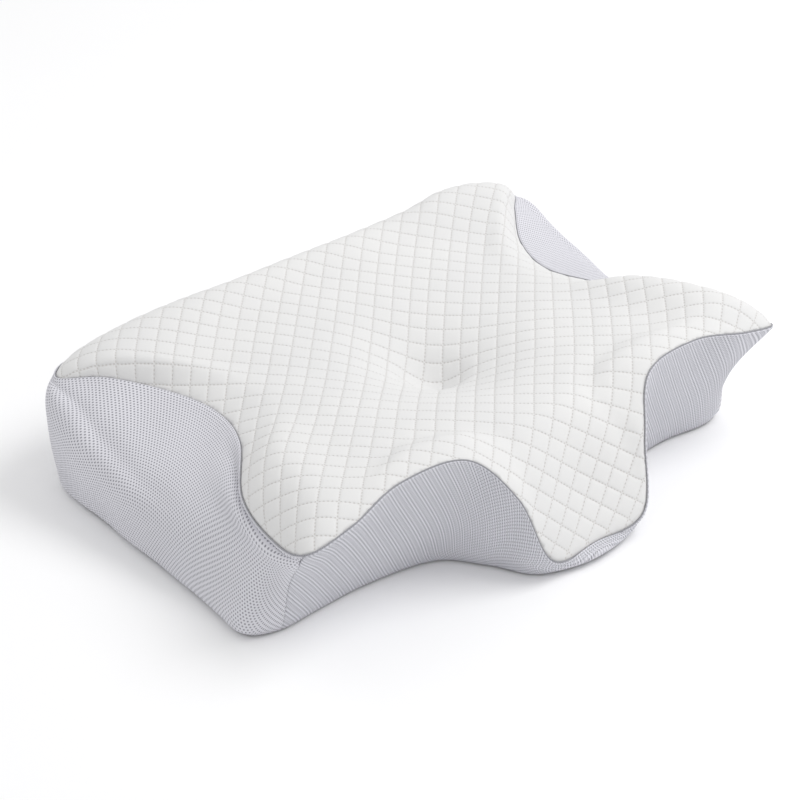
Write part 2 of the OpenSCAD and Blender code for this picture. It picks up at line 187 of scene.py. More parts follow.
def top_height(x, y):
    """Height of the top, carried on past the seam at the slope it has there."""
    shape = np.shape(x)
    x, y = np.ravel(x).astype(float), np.ravel(y).astype(float)
    station, share = bearing(x, y)
    low = np.floor(station).astype(int) % COUNT
    f = station - np.floor(station)
    q = np.minimum(share, 1) * SHARES
    k = np.minimum(q.astype(int), SHARES - 1)
    q = q - k
    high = (low + 1) % COUNT
    z = ((TOP[low, k] * (1 - q) + TOP[low, k + 1] * q) * (1 - f)
         + (TOP[high, k] * (1 - q) + TOP[high, k + 1] * q) * f)
    past = np.maximum(0, share - 1) * reach[low]
    return (z - np.minimum(past * 1.4, 14)).reshape(shape)


# ---------------------------------------------------------------- laying the quilted cloth
def lay_cloth():
    """Lets a square net of threads settle over the top. Returns where each crossing lies in plan."""
    pitch = THREAD_PITCH
    u, v = np.arange(-350, 351, pitch), np.arange(-270, 291, pitch)
    U, V = np.meshgrid(u, v, indexing="ij")
    step = 2.0
    gx, gy = np.arange(-330, 331, step), np.arange(-260, 291, step)
    GX, GY = np.meshgrid(gx, gy, indexing="ij")
    Z = top_height(GX, GY)
    ZX, ZY = np.gradient(Z, step)

    def look(table, x, y):
        i = np.clip((x - gx[0]) / step, 0, len(gx) - 1.001)
        j = np.clip((y - gy[0]) / step, 0, len(gy) - 1.001)
        a, b = np.floor(i).astype(int), np.floor(j).astype(int)
        s, t = i - a, j - b
        return (table[a, b] * (1 - s) * (1 - t) + table[a + 1, b] * s * (1 - t)
                + table[a, b + 1] * (1 - s) * t + table[a + 1, b + 1] * s * t)

    x, y = U * 0.9, HUB[1] + (V - HUB[1]) * 0.9
    vx, vy = np.zeros_like(x), np.zeros_like(y)
    for k in range(SETTLE_STEPS):
        if k % 50 == 0:
            share = bearing(x.ravel(), y.ravel())[1].reshape(x.shape)
        z = look(Z, x, y)
        fx, fy, fz = np.zeros_like(x), np.zeros_like(x), np.zeros_like(x)
        for di, dj, hold in ((1, 0, 1.0), (0, 1, 1.0), (1, 1, 0.25), (1, -1, 0.25)):
            lo = (slice(0, x.shape[0] - di), slice(max(0, -dj), x.shape[1] - max(0, dj)))
            hi = (slice(di, x.shape[0]), slice(max(0, dj), x.shape[1] + min(0, dj)))
            dx, dy, dz = x[hi] - x[lo], y[hi] - y[lo], z[hi] - z[lo]
            length = np.sqrt(dx * dx + dy * dy + dz * dz) + 1e-9
            pull = hold * (length - pitch * math.hypot(di, dj)) / length
            pull = pull * np.where(np.maximum(share[hi], share[lo]) > 1.06, 0.03, 1.0)
            for total, part in ((fx, dx), (fy, dy), (fz, dz)):
                total[lo] += pull * part
                total[hi] -= pull * part
        zx, zy = look(ZX, x, y), look(ZY, x, y)
        steep = 1 + zx * zx + zy * zy
        vx = vx * 0.9 + 0.12 * (fx + fz * zx) / steep
        vy = vy * 0.9 + 0.12 * (fy + fz * zy) / steep
        x, y = x + vx, y + vy
    return u, v, x, y


cloth_u, cloth_v, cloth_x, cloth_y = lay_cloth()


def plan_of(u, v):
    """Plan place of cloth points, smooth between the threads."""
    def weights(t):
        return [0.5 * (-t + 2 * t ** 2 - t ** 3), 0.5 * (2 - 5 * t ** 2 + 3 * t ** 3),
                0.5 * (t + 4 * t ** 2 - 3 * t ** 3), 0.5 * (t ** 3 - t ** 2)]
    pitch = cloth_u[1] - cloth_u[0]
    i = np.clip((u - cloth_u[0]) / pitch, 1, len(cloth_u) - 2.001)
    j = np.clip((v - cloth_v[0]) / pitch, 1, len(cloth_v) - 2.001)
    a, b = np.floor(i).astype(int), np.floor(j).astype(int)
    x, y = 0.0, 0.0
    for m, wm in enumerate(weights(i - a)):
        for n, wn in enumerate(weights(j - b)):
            x = x + wm * wn * cloth_x[a + m - 1, b + n - 1]
            y = y + wm * wn * cloth_y[a + m - 1, b + n - 1]
    return x, y


def cloth_of(x, y):
    """Cloth point over each point of a closed run of plan points."""
    U, V = np.meshgrid(cloth_u[1:-1], cloth_v[1:-1], indexing="ij")
    nets = cloth_x[1:-1, 1:-1], cloth_y[1:-1, 1:-1]
    start = [np.argmin(np.hypot(nets[0] - a, nets[1] - b)) for a, b in zip(x, y)]
    u, v = U.ravel()[start], V.ravel()[start]
    for _ in range(60):
        px, py = plan_of(u, v)
        ax, ay = plan_of(u + 0.5, v)
        bx, by = plan_of(u, v + 0.5)
        a, b, c, d = 2 * (ax - px), 2 * (bx - px), 2 * (ay - py), 2 * (by - py)
        det = np.maximum(a * d - b * c, 0.08)
        ex, ey = x - px, y - py
        u = u + np.clip(0.7 * (d * ex - b * ey) / det, -4, 4)
        v = v + np.clip(0.7 * (a * ey - c * ex) / det, -4, 4)
    px, py = plan_of(u, v)
    n = np.arange(len(x))
    good = np.hypot(px - x, py - y) < 0.4
    return (np.interp(n, n[good], u[good], period=len(x)), np.interp(n, n[good], v[good], period=len(x)))


def undulation(x, y, z, size, seed):
    """Soft irregular swell between -1 and 1."""
    own = np.random.default_rng(seed)
    total = 0.0
    for k in range(6):
        way = own.normal(size=3)
        way = way / np.linalg.norm(way) * 2 * math.pi / (size * own.uniform(0.6, 1.6))
        total = total + np.sin(way[0] * x + way[1] * y + way[2] * z + own.uniform(0, 6.28))
    return total / 3.2


# ---------------------------------------------------------------- meshes
def make_piece(name, points, faces, fabric=None, body="pillow"):
    """A smooth-shaded mesh from millimetre points. fabric is each point's place on the flat cloth."""
    mesh = bpy.data.meshes.new(name)
    mesh.from_pydata((np.asarray(points, float) * MM).tolist(), [], [list(f) for f in faces])
    mesh.validate()
    if fabric is not None:
        corner = np.zeros(len(mesh.loops), np.int32)
        mesh.loops.foreach_get("vertex_index", corner)
        layer = mesh.uv_layers.new(name="cloth")
        layer.data.foreach_set("uv", np.asarray(fabric, np.float32)[corner].ravel())
    mesh.polygons.foreach_set("use_smooth", np.ones(len(mesh.polygons), bool))
    mesh.update()
    piece = bpy.data.objects.new(name, mesh)
    bpy.context.scene.collection.objects.link(piece)
    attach(piece, body)
    return piece


def grid_faces(rows, columns, closed=False, flip=False):
    """Quads of a grid of points stored row by row."""
    out = []
    for r in range(rows - 1):
        for c in range(columns if closed else columns - 1):
            e = (c + 1) % columns
            quad = (r * columns + c, r * columns + e, (r + 1) * columns + e, (r + 1) * columns + c)
            out.append(quad[::-1] if flip else quad)
    return out


def thicken(piece, depth, offset=-1):
    solid = piece.modifiers.new("thickness", "SOLIDIFY")
    solid.thickness = depth * MM
    solid.offset = offset
    return piece


def quilted_top():
    shares = np.array([0, 0.045, 0.12, 0.26, 0.5, 0.74, 0.88, 0.955])
    across = (np.arange(-30, 31)[:, None] + shares[None, :]).ravel() * CELL
    A, B = (g.ravel() for g in np.meshgrid(across, across, indexing="ij"))
    U, V = (A + B) / math.sqrt(2), (A - B) / math.sqrt(2)
    keep = (np.abs(U) < 335) & (V > -260) & (V < 280)
    U, V = U[keep], V[keep]
    X, Y = plan_of(U, V)
    station, share = bearing(X, Y)
    keep = (1 - share) * np.interp(station, np.arange(COUNT), reach) > 0.9
    U, V, X, Y = U[keep], V[keep], X[keep], Y[keep]
    rim = seam[:, :2]
    rim_u, rim_v = cloth_of(rim[:, 0], rim[:, 1])
    U, V = np.concatenate([rim_u, U]), np.concatenate([rim_v, V])
    X, Y = np.concatenate([rim[:, 0], X]), np.concatenate([rim[:, 1], Y])
    flat = [Vector((a, b)) for a, b in zip(U.tolist(), V.tolist())]
    border = list(range(COUNT))
    verts, _, faces, origin, _, _ = delaunay_2d_cdt(flat, [], [border], 1, 1e-4)
    pick = np.array([o[0] if o else 0 for o in origin])
    U, V, X, Y = U[pick], V[pick], X[pick], Y[pick]
    on_rim = pick < COUNT
    Z = top_height(X, Y)
    Z[on_rim] = seam[pick[on_rim], 2]
    # Slope of the form under each point, looked at from just inside the seam.
    pull_in = np.where(bearing(X, Y)[1] > 0.985, 0.985, 1.0)
    sx, sy = HUB[0] + (X - HUB[0]) * pull_in, HUB[1] + (Y - HUB[1]) * pull_in
    zx = (top_height(sx + 1, sy) - top_height(sx - 1, sy)) / 2
    zy = (top_height(sx, sy + 1) - top_height(sx, sy - 1)) / 2
    out = np.stack([-zx, -zy, np.ones_like(zx)], 1)
    out /= np.linalg.norm(out, axis=1)[:, None]
    # Puffed diamonds between sunk stitch lines, dying away at the seam.
    a, b = (U + V) / math.sqrt(2) / CELL, (U - V) / math.sqrt(2) / CELL
    da, db = np.abs(a - np.round(a)) * CELL, np.abs(b - np.round(b)) * CELL
    puff = (1 - np.exp(-da / 0.9)) * (1 - np.exp(-db / 0.9))
    puff = 0.5 * puff + 0.5 * np.abs(np.sin(math.pi * a) * np.sin(math.pi * b)) ** 0.6
    station, share = bearing(X, Y)
    to_seam = np.maximum(0, 1 - share) * np.interp(station, np.arange(COUNT), reach)
    fade = 1 - np.exp(-to_seam / 2.2)
    lift = puff * fade * (1 + 0.15 * undulation(X, Y, Z, 60, 3)) + 0.5 * fade * undulation(X, Y, Z, 90, 4)
    points = np.stack([X, Y, Z], 1) + out * lift[:, None]
    # The raw edge turned under at the seam.
    n = len(points)
    hem = np.stack([seam[:, 0] + 3 * seam_in[:, 0], seam[:, 1] + 3 * seam_in[:, 1], seam[:, 2] - 4.5], 1)
    where = np.zeros(COUNT, int)
    where[pick[on_rim]] = np.nonzero(on_rim)[0]
    faces = [tuple(f) for f in faces]
    for i in range(COUNT):
        j = (i + 1) % COUNT
        faces.append((where[i], where[j], n + j, n + i))
    fabric = np.concatenate([np.stack([U, V], 1), np.stack([U, V], 1)[where]])
    return make_piece("quilted_top", np.concatenate([points, hem]), faces, fabric)


def shares_of_wall():
    drop = (seam[:, 2] - BASE_SEAM_H)
    return (waist[:, 2] - BASE_SEAM_H) / drop, (np.minimum(BELLY_H, 0.55 * seam[:, 2]) - BASE_SEAM_H) / drop


WAIST_SHARE, BELLY_SHARE = shares_of_wall()


def wall(t, d=0.0):
    """Wall points at every station, from t of 0 at the top seam, by waist and belly, to 3 at the base."""
    low = BASE_SEAM_H + 0.6 * d
    top = seam[:, 2] - d

    def place(flat, inward, inset, z):
        return np.column_stack([flat[:, :2] + inward * inset, z])
    s = place(seam, seam_in, d, top)
    w = place(waist, waist_in, d, low + (top - low) * WAIST_SHARE)
    b = place(belly, belly_in, d, low + (top - low) * BELLY_SHARE)
    e = place(belly, belly_in, BASE_INSET + d, np.full(COUNT, low))
    if t < 1:
        return smooth(2 * s - w, s, w, b, t)
    if t < 2:
        return smooth(s, w, b, e, t - 1)
    return smooth(w, b, e, 2 * e - b, min(1, t - 2))


WALL_T = np.concatenate([np.linspace(0, 0.3, 9)[:-1], np.linspace(0.3, 2, 35)[:-1], np.linspace(2, 3, 10)])
wall_grid = np.array([wall(t) for t in WALL_T])                   # row, station, xyz
belly_run = np.concatenate([[0], np.cumsum(np.linalg.norm(np.diff(belly[:, :2], axis=0), axis=1))])
wall_step = np.linalg.norm(np.diff(wall_grid, axis=0), axis=2)
wall_drop = np.concatenate([np.zeros((1, COUNT)), np.cumsum(wall_step, 0)])


def normals_of(grid):
    down = np.gradient(grid, axis=0)
    round_ = (np.roll(grid, -1, 1) - np.roll(grid, 1, 1))
    n = np.cross(down, round_)
    n /= np.linalg.norm(n, axis=2)[:, :, None] + 1e-9
    side = np.einsum("rsk,sk->rs", n[:, :, :2], seam_in)
    return np.where(side.mean() > 0, -1, 1) * n


wall_out = normals_of(wall_grid)
hold = np.sin(np.pi * np.clip(WALL_T / 3, 0, 1)) ** 0.5          # nothing moves at the two seams
swell = undulation(wall_grid[:, :, 0], wall_grid[:, :, 1], wall_grid[:, :, 2], 70, 5)
# Outline points from the middle of the back, counted round either side.
outline_at = np.minimum(np.arange(COUNT), COUNT - np.arange(COUNT)) / PER


def fold(at, centre, depth, wide, shown):
    """A soft fold along the wall. At outline points at, centre is its wall share and shown its strength."""
    run = np.interp(outline_at, at, centre)
    much = np.interp(outline_at, at, shown)
    return depth * much[None, :] * np.exp(-((WALL_T[:, None] - run[None, :]) / wide) ** 2)


folds = (fold([4.6, 5.4, 6.5, 7.6, 9.0], [0.15, 0.4, 0.75, 0.95, 1.05], -2.8, 0.13, [0, 0.7, 1, 0.7, 0])
         + fold([4.6, 5.4, 6.5, 7.6, 9.0], [0.4, 0.65, 1.0, 1.2, 1.3], 1.3, 0.18, [0, 0.7, 1, 0.6, 0])
         + fold([8.6, 9.4, 11.0, 11.9, 12.0], [0.2, 0.18, 0.16, 0.14, 0.12], -4.0, 0.09, [0, 1, 1, 0.5, 0])
         + fold([8.6, 9.4, 11.0, 11.9, 12.0], [0.5, 0.46, 0.42, 0.4, 0.4], 2.4, 0.15, [0, 1, 1, 0.5, 0]))
wall_grid = wall_grid + wall_out * (0.7 * hold[:, None] * swell + folds)[:, :, None]


def wall_panel(name, stations):
    """A stretch of the mesh wall between two corner seams."""
    cols = [i % COUNT for i in stations]
    points = wall_grid[:, cols].reshape(-1, 3)
    run = np.array([belly_run[i % COUNT] for i in stations])
    fabric = np.stack([np.broadcast_to(run, (len(WALL_T), len(cols))), wall_drop[:, cols]], 2).reshape(-1, 2)
    return thicken(make_piece(name, points, grid_faces(len(WALL_T), len(cols), flip=True), fabric), 2)


def back_panel(name, low, high):
    """A flat strip of the back wall between two heights, its zip edge folded in."""
    section = wall_grid[:, 0]
    fine = np.linspace(0, len(section) - 1, 400)
    y = np.interp(fine, np.arange(len(section)), section[:, 1])
    z = np.interp(fine, np.arange(len(section)), section[:, 2])
    inside = (z <= high) & (z >= low)
    y, z = y[inside], z[inside]
    pick = np.unique(np.linspace(0, len(y) - 1, 16).astype(int))
    y, z = y[pick], z[pick]
    fold = 5
    if low > BASE_SEAM_H:
        y, z = np.append(y, [y[-1] - 1.2, y[-1] - 1.6]), np.append(z, [low + 0.3, low + fold])
    else:
        y, z = np.insert(y, 0, [y[0] - 1.6, y[0] - 1.2]), np.insert(z, 0, [high - fold, high - 0.3])
    xs = np.linspace(-ZIP_LEN / 2, ZIP_LEN / 2, 121)
    X = np.broadcast_to(xs, (len(y), len(xs)))
    Y = np.broadcast_to(y[:, None], X.shape)
    Z = np.broadcast_to(z[:, None], X.shape)
    ripple = 0.35 * undulation(X, Y, Z, 45, 8) * np.sin(np.pi * np.linspace(0, 1, len(y)))[:, None]
    points = np.stack([X, Y + ripple, Z], 2).reshape(-1, 3)
    fabric = np.stack([X, 88 - Z], 2).reshape(-1, 2)
    return thicken(make_piece(name, points, grid_faces(len(y), len(xs)), fabric), 1)


def base_cloth():
    rings = [wall(3.0)]
    for inset, z in ((6.5, 1.1), (8.5, 0.35), (11, 0.05), (16, 0)):
        rings.append(np.column_stack([belly[:, :2] + belly_in * inset, np.full(COUNT, z)]))
    edge = rings[-1]
    for f in (0.9, 0.78, 0.62, 0.45, 0.28, 0.12):
        rings.append(np.column_stack([HUB + (edge[:, :2] - HUB) * f, np.zeros(COUNT)]))
    points = np.concatenate(rings + [[[HUB[0], HUB[1], 0]]])
    faces = grid_faces(len(rings), COUNT, closed=True, flip=True)
    last = (len(rings) - 1) * COUNT
    faces += [(last + (i + 1) % COUNT, last + i, len(points) - 1) for i in range(COUNT)]
    return thicken(make_piece("base_cloth", points, faces, points[:, :2]), 2, offset=1)


def closed_form(name, d, thick=None):
    """The foam block, or the sleeve round it when thick is given."""
    some = np.arange(0, COUNT, 4)

    def shell(depth):
        rings = []
        for k in (45, 90, 135, 180, 225, 275, 330, 390, 450, 510, 545, 570, 588, 600):
            edge = seam[:, :2] + seam_in * depth
            rings.append(np.column_stack([HUB + (edge - HUB) * k / SHARES, TOP[:, k] - depth])[some])
        rings += [wall(t, depth)[some] for t in np.linspace(0, 3, 13)[1:]]
        for inset in (10 + depth, 40 + depth):
            floor_ring = np.column_stack([belly[:, :2] + belly_in * inset, np.full(COUNT, 0.95 * depth)])
            rings.append(floor_ring[some])
        top, bottom = [[HUB[0], HUB[1], CRADLE_H - depth]], [[HUB[0], HUB[1], 0.95 * depth]]
        return np.concatenate([top] + rings + [bottom]), len(rings)
    points, rows = shell(d)
    k = len(some)

    def skin(shift, flip):
        out = []
        for i in range(k):
            j = (i + 1) % k
            out.append((shift, shift + 1 + j, shift + 1 + i))
            out.append((shift + rows * k + 1, shift + 1 + (rows - 1) * k + i, shift + 1 + (rows - 1) * k + j))
        out += [tuple(shift + 1 + q for q in f) for f in grid_faces(rows, k, closed=True)]
        return [f[::-1] for f in out] if flip else out
    faces = skin(0, False)
    if thick:
        inner, _ = shell(d + thick)
        faces += skin(len(points), True)
        points = np.concatenate([points, inner])
    return make_piece(name, points, faces, points[:, :2])


def rope(name, path, radius, closed, twist=0.0, pitch=6.0, sides=8, strands=3, body="pillow"):
    """A yarn or thread laid along a path, its strands showing as a slow twist."""
    path = np.asarray(path, float)
    if closed:
        way = np.roll(path, -1, 0) - np.roll(path, 1, 0)
    else:
        way = np.gradient(path, axis=0)
    way /= np.linalg.norm(way, axis=1)[:, None] + 1e-9
    up = np.array([0, 0, 1.0]) - way * way[:, 2:3]
    flat = np.linalg.norm(up, axis=1) < 0.2
    up[flat] = np.cross(way[flat], [1.0, 0, 0])
    up /= np.linalg.norm(up, axis=1)[:, None]
    side = np.cross(way, up)
    run = np.concatenate([[0], np.cumsum(np.linalg.norm(np.diff(path, axis=0), axis=1))])
    a = np.arange(sides) * 2 * math.pi / sides
    r = radius * (1 + twist * np.cos(strands * (a[None, :] - 2 * math.pi * run[:, None] / pitch)))
    spread = up[:, None] * np.cos(a)[None, :, None] + side[:, None] * np.sin(a)[None, :, None]
    points = path[:, None] + r[:, :, None] * spread
    n = len(path)
    faces = []
    for i in range(n if closed else n - 1):
        j = (i + 1) % n
        for m in range(sides):
            q = (m + 1) % sides
            faces.append((i * sides + m, i * sides + q, j * sides + q, j * sides + m))
    if not closed:
        faces += [tuple(range(sides))[::-1], tuple((n - 1) * sides + m for m in range(sides))]
    fabric = np.stack([np.broadcast_to(run[:, None], (n, sides)),
                       np.broadcast_to(a[None, :] * radius, (n, sides))], 2)
    return make_piece(name, points.reshape(-1, 3), faces, fabric.reshape(-1, 2), body)


# ---------------------------------------------------------------- finishes
class Tree:
    """Short ways to place and join shader nodes."""

    def __init__(self, tree):
        self.tree = tree

    def node(self, kind, **settings):
        made = self.tree.nodes.new(kind)
        for key, value in settings.items():
            setattr(made, key, value)
        return made

    def feed(self, socket, value):
        if isinstance(value, bpy.types.NodeSocket):
            self.tree.links.new(value, socket)
        elif value is not None:
            socket.default_value = value

    def calc(self, operation, a, b=None, c=None, clamp=False):
        made = self.node("ShaderNodeMath", operation=operation, use_clamp=clamp)
        for socket, value in zip(made.inputs, (a, b, c)):
            self.feed(socket, value)
        return made.outputs[0]

    def ramp(self, value, low, high, a=0.0, b=1.0):
        made = self.node("ShaderNodeMapRange", interpolation_type="SMOOTHSTEP")
        for socket, v in zip(made.inputs, (value, low, high, a, b)):
            self.feed(socket, v)
        return made.outputs[0]

    def blend(self, share, a, b, how="MIX"):
        made = self.node("ShaderNodeMix", data_type="RGBA", blend_type=how)
        for name, v in (("Factor_Float", share), ("A_Color", a), ("B_Color", b)):
            socket = next(s for s in made.inputs if s.identifier == name)
            self.feed(socket, (*v, 1.0) if isinstance(v, tuple) and len(v) == 3 else v)
        return next(s for s in made.outputs if s.identifier == "Result_Color")

    def split(self, vector):
        made = self.node("ShaderNodeSeparateXYZ")
        self.feed(made.inputs[0], vector)
        return made.outputs

    def noise(self, vector, scale, detail=2.0, rough=0.5):
        made = self.node("ShaderNodeTexNoise")
        for name, v in (("Vector", vector), ("Scale", scale), ("Detail", detail), ("Roughness", rough)):
            self.feed(made.inputs[name], v)
        return made.outputs["Fac"] if "Fac" in made.outputs else made.outputs[0]

    def group(self, which, **inputs):
        made = self.node("ShaderNodeGroup", node_tree=which)
        for name, v in inputs.items():
            self.feed(made.inputs[name.replace("_", " ")], v)
        return made.outputs


def new_group(name, inputs, outputs):
    tree = bpy.data.node_groups.new(name, "ShaderNodeTree")
    for label, kind, value in inputs:
        socket = tree.interface.new_socket(label, in_out="INPUT", socket_type=kind)
        if value is not None:
            socket.default_value = value
    for label in outputs:
        tree.interface.new_socket(label, in_out="OUTPUT", socket_type="NodeSocketFloat")
    t = Tree(tree)
    return t, t.node("NodeGroupInput").outputs, t.node("NodeGroupOutput").inputs


FLOAT, VECTOR = "NodeSocketFloat", "NodeSocketVector"


def quilt_lines_group():
    """Stitch lines of a diamond quilt: the sunk line, its needle holes, and the middle of each diamond."""
    t, i, o = new_group("quilt_lines", [("Cloth", VECTOR, None), ("Cell", FLOAT, CELL), ("Holes", FLOAT, 5.0),
                                        ("Line Width", FLOAT, 1.4)], ["Line", "Hole", "Middle"])
    u, v, _ = t.split(i["Cloth"])
    half = math.sqrt(0.5)
    across = []
    for sum_ in ("ADD", "SUBTRACT"):
        across.append(t.calc("DIVIDE", t.calc("MULTIPLY", t.calc(sum_, u, v), half), i["Cell"]))
    off = [t.calc("MULTIPLY", t.calc("ABSOLUTE", t.calc("SUBTRACT", a, t.calc("ROUND", a))), i["Cell"])
           for a in across]
    nearest = t.calc("MINIMUM", *off)
    holes = []
    for n in (0, 1):
        part = t.calc("FRACT", t.calc("MULTIPLY", across[1 - n], i["Holes"]))
        beat = t.calc("ABSOLUTE", t.calc("SUBTRACT", part, 0.5))
        along_line = t.calc("DIVIDE", t.calc("MULTIPLY", beat, i["Cell"]), i["Holes"])
        long_ = t.calc("MULTIPLY", along_line, 0.75)
        away = t.calc("SQRT", t.calc("ADD", t.calc("MULTIPLY", long_, long_),
                                     t.calc("MULTIPLY", off[n], off[n])))
        holes.append(t.ramp(away, 0.35, 0.85, 1.0, 0.0))
    t.feed(o["Line"], t.ramp(nearest, 0.0, i["Line Width"], 1.0, 0.0))
    t.feed(o["Hole"], t.calc("MAXIMUM", *holes))
    t.feed(o["Middle"], t.calc("MULTIPLY", t.calc("DIVIDE", nearest, i["Cell"]), 2.0, clamp=True))
    return t.tree


def air_holes_group():
    """Staggered air holes of a spacer mesh, with the fine ribs between them."""
    t, i, o = new_group("air_holes", [("Cloth", VECTOR, None), ("Pitch", FLOAT, 3.3), ("Size", FLOAT, 0.24),
                                      ("Rib Pitch", FLOAT, 2.4), ("Rib Turn", FLOAT, 0.5)], ["Hole", "Rib"])
    u, v, _ = t.split(i["Cloth"])
    row = t.calc("DIVIDE", v, t.calc("MULTIPLY", i["Pitch"], 0.866))
    shift = t.calc("MULTIPLY", t.calc("FLOORED_MODULO", t.calc("FLOOR", row), 2.0), 0.5)
    column = t.calc("ADD", t.calc("DIVIDE", u, i["Pitch"]), shift)
    fx = t.calc("SUBTRACT", t.calc("FRACT", column), 0.5)
    fy = t.calc("MULTIPLY", t.calc("SUBTRACT", t.calc("FRACT", row), 0.5), 0.866)
    away = t.calc("SQRT", t.calc("ADD", t.calc("MULTIPLY", fx, fx), t.calc("MULTIPLY", fy, fy)))
    near, far = t.calc("MULTIPLY", i["Size"], 0.6), t.calc("MULTIPLY", i["Size"], 1.35)
    t.feed(o["Hole"], t.ramp(away, near, far, 1.0, 0.0))
    slant = t.calc("ADD", t.calc("MULTIPLY", u, t.calc("SINE", i["Rib Turn"])),
                   t.calc("MULTIPLY", v, t.calc("COSINE", i["Rib Turn"])))
    wave = t.calc("SINE", t.calc("DIVIDE", t.calc("MULTIPLY", slant, 2 * math.pi), i["Rib Pitch"]))
    t.feed(o["Rib"], t.calc("ADD", t.calc("MULTIPLY", wave, 0.5), 0.5))
    return t.tree


def fine_knit_group():
    """Tiny loops of a knit, and the slow drift of colour over a large piece."""
    t, i, o = new_group("fine_knit", [("Cloth", VECTOR, None), ("Loop", FLOAT, 0.9), ("Place", VECTOR, None)],
                        ["Loops", "Drift", "Fuzz"])
    u, v, _ = t.split(i["Cloth"])
    turns = [t.calc("SINE", t.calc("DIVIDE", t.calc("MULTIPLY", x, 2 * math.pi),
                                   t.calc("MULTIPLY", i["Loop"], k))) for x, k in ((u, 1.0), (v, 0.8))]
    t.feed(o["Loops"], t.calc("ADD", t.calc("MULTIPLY", t.calc("MULTIPLY", *turns), 0.5), 0.5))
    t.feed(o["Drift"], t.noise(i["Place"], 9.0, 3.0))
    t.feed(o["Fuzz"], t.noise(i["Place"], 900.0, 2.0))
    return t.tree


QUILT, HOLES, KNIT = quilt_lines_group(), air_holes_group(), fine_knit_group()


def new_finish(name, rough, sheen=0.0, specular=0.3):
    material = bpy.data.materials.new(name)
    material.use_nodes = True
    t = Tree(material.node_tree)
    surface = t.tree.nodes["Principled BSDF"]
    surface.inputs["Roughness"].default_value = rough
    surface.inputs["Specular IOR Level"].default_value = specular
    surface.inputs["Sheen Weight"].default_value = sheen
    surface.inputs["Sheen Roughness"].default_value = 0.4
    cloth = t.node("ShaderNodeUVMap", uv_map="cloth").outputs[0]
    place = t.node("ShaderNodeTexCoord").outputs["Object"]
    return material, t, surface, cloth, place


def finish_surface(t, surface, colour, height, strength, distance, rough=None):
    t.feed(surface.inputs["Base Color"], colour)
    if rough is not None:
        t.feed(surface.inputs["Roughness"], rough)
    bump = t.node("ShaderNodeBump")
    bump.inputs["Strength"].default_value = strength
    bump.inputs["Distance"].default_value = distance * MM
    t.feed(bump.inputs["Height"], height)
    t.feed(surface.inputs["Normal"], bump.outputs[0])


def quilted_finish():
    m, t, s, cloth, place = new_finish("quilted_knit", 0.85, sheen=0.12)
    line, hole, _ = t.group(QUILT, Cloth=cloth, Cell=CELL, Holes=float(STITCHES))
    loops, drift, fuzz = t.group(KNIT, Cloth=cloth, Loop=1.1, Place=place)
    colour = t.blend(t.ramp(drift, 0.3, 0.7), (0.715, 0.713, 0.712), (0.745, 0.742, 0.738))
    # Painted shade: the sunk stitch lines are darkened towards beige, as if shade lay in the groove.
    colour = t.blend(t.calc("MULTIPLY", line, 0.05), colour, (0.6, 0.58, 0.55))
    # Painted shade: each needle hole is darkened as if in shadow, on top of the dimple that the bump sinks there.
    colour = t.blend(t.calc("MULTIPLY", hole, 0.32), colour, (0.45, 0.40, 0.35))
    colour = t.blend(t.calc("MULTIPLY", fuzz, 0.08), colour, (0.6, 0.6, 0.6))
    height = t.calc("SUBTRACT", t.calc("MULTIPLY", loops, 0.12), t.calc("MULTIPLY", hole, 1.0))
    height = t.calc("ADD", height, t.calc("MULTIPLY", fuzz, 0.12))
    finish_surface(t, s, colour, height, 0.6, 0.5, t.ramp(hole, 0.0, 1.0, 0.84, 0.95))
    return m


def mesh_finish(name, light, dark, pitch, size, rib_pitch, rib_turn, hole_share, rib_share):
    m, t, s, cloth, place = new_finish(name, 0.8, sheen=0.08)
    hole, rib = t.group(HOLES, Cloth=cloth, Pitch=pitch, Size=size, Rib_Pitch=rib_pitch, Rib_Turn=rib_turn)
    loops, drift, fuzz = t.group(KNIT, Cloth=cloth, Loop=0.8, Place=place)
    colour = t.blend(t.ramp(drift, 0.3, 0.7), light, tuple(0.94 * c for c in light))
    # Painted shade: the furrows between the ribs are darkened towards the hole colour.
    between = tuple(0.6 * a + 0.4 * b for a, b in zip(light, dark))
    colour = t.blend(t.calc("MULTIPLY", rib, rib_share), colour, between)
    # Painted shade: each air hole gets the dark colour of the shaded hollow behind it.
    colour = t.blend(t.calc("MULTIPLY", hole, hole_share), colour, dark)
    height = t.calc("SUBTRACT", t.calc("MULTIPLY", loops, 0.1), t.calc("MULTIPLY", hole, 0.9 * hole_share))
    height = t.calc("SUBTRACT", height, t.calc("MULTIPLY", rib, 0.5 * rib_share))
    finish_surface(t, s, colour, height, 0.7, 0.6, t.ramp(hole, 0.0, 1.0, 0.78, 0.92))
    return m


def yarn_finish(name, light, dark, pitch):
    m, t, s, cloth, place = new_finish(name, 0.8, sheen=0.1)
    _, rib = t.group(HOLES, Cloth=cloth, Pitch=3.0, Size=0.2, Rib_Pitch=pitch, Rib_Turn=0.9)
    _, drift, fuzz = t.group(KNIT, Cloth=cloth, Loop=0.6, Place=place)
    colour = t.blend(rib, light, dark)
    colour = t.blend(t.calc("MULTIPLY", fuzz, 0.2), colour, dark)
    finish_surface(t, s, colour, rib, 0.5, 0.25, t.ramp(drift, 0.3, 0.7, 0.75, 0.88))
    return m


def foam_finish():
    m, t, s, cloth, place = new_finish("slow_foam", 0.95, specular=0.2)
    pores = t.noise(place, 700.0, 4.0, 0.7)
    drift = t.noise(place, 8.0, 3.0)
    colour = t.blend(t.ramp(drift, 0.3, 0.7), (0.86, 0.80, 0.62), (0.80, 0.72, 0.52))
    # Painted shade: the colour is darkened in the pores, where the bump sinks the surface.
    colour = t.blend(t.ramp(pores, 0.25, 0.45, 0.7, 0.0), colour, (0.55, 0.47, 0.3))
    finish_surface(t, s, colour, pores, 0.6, 0.5)
    return m


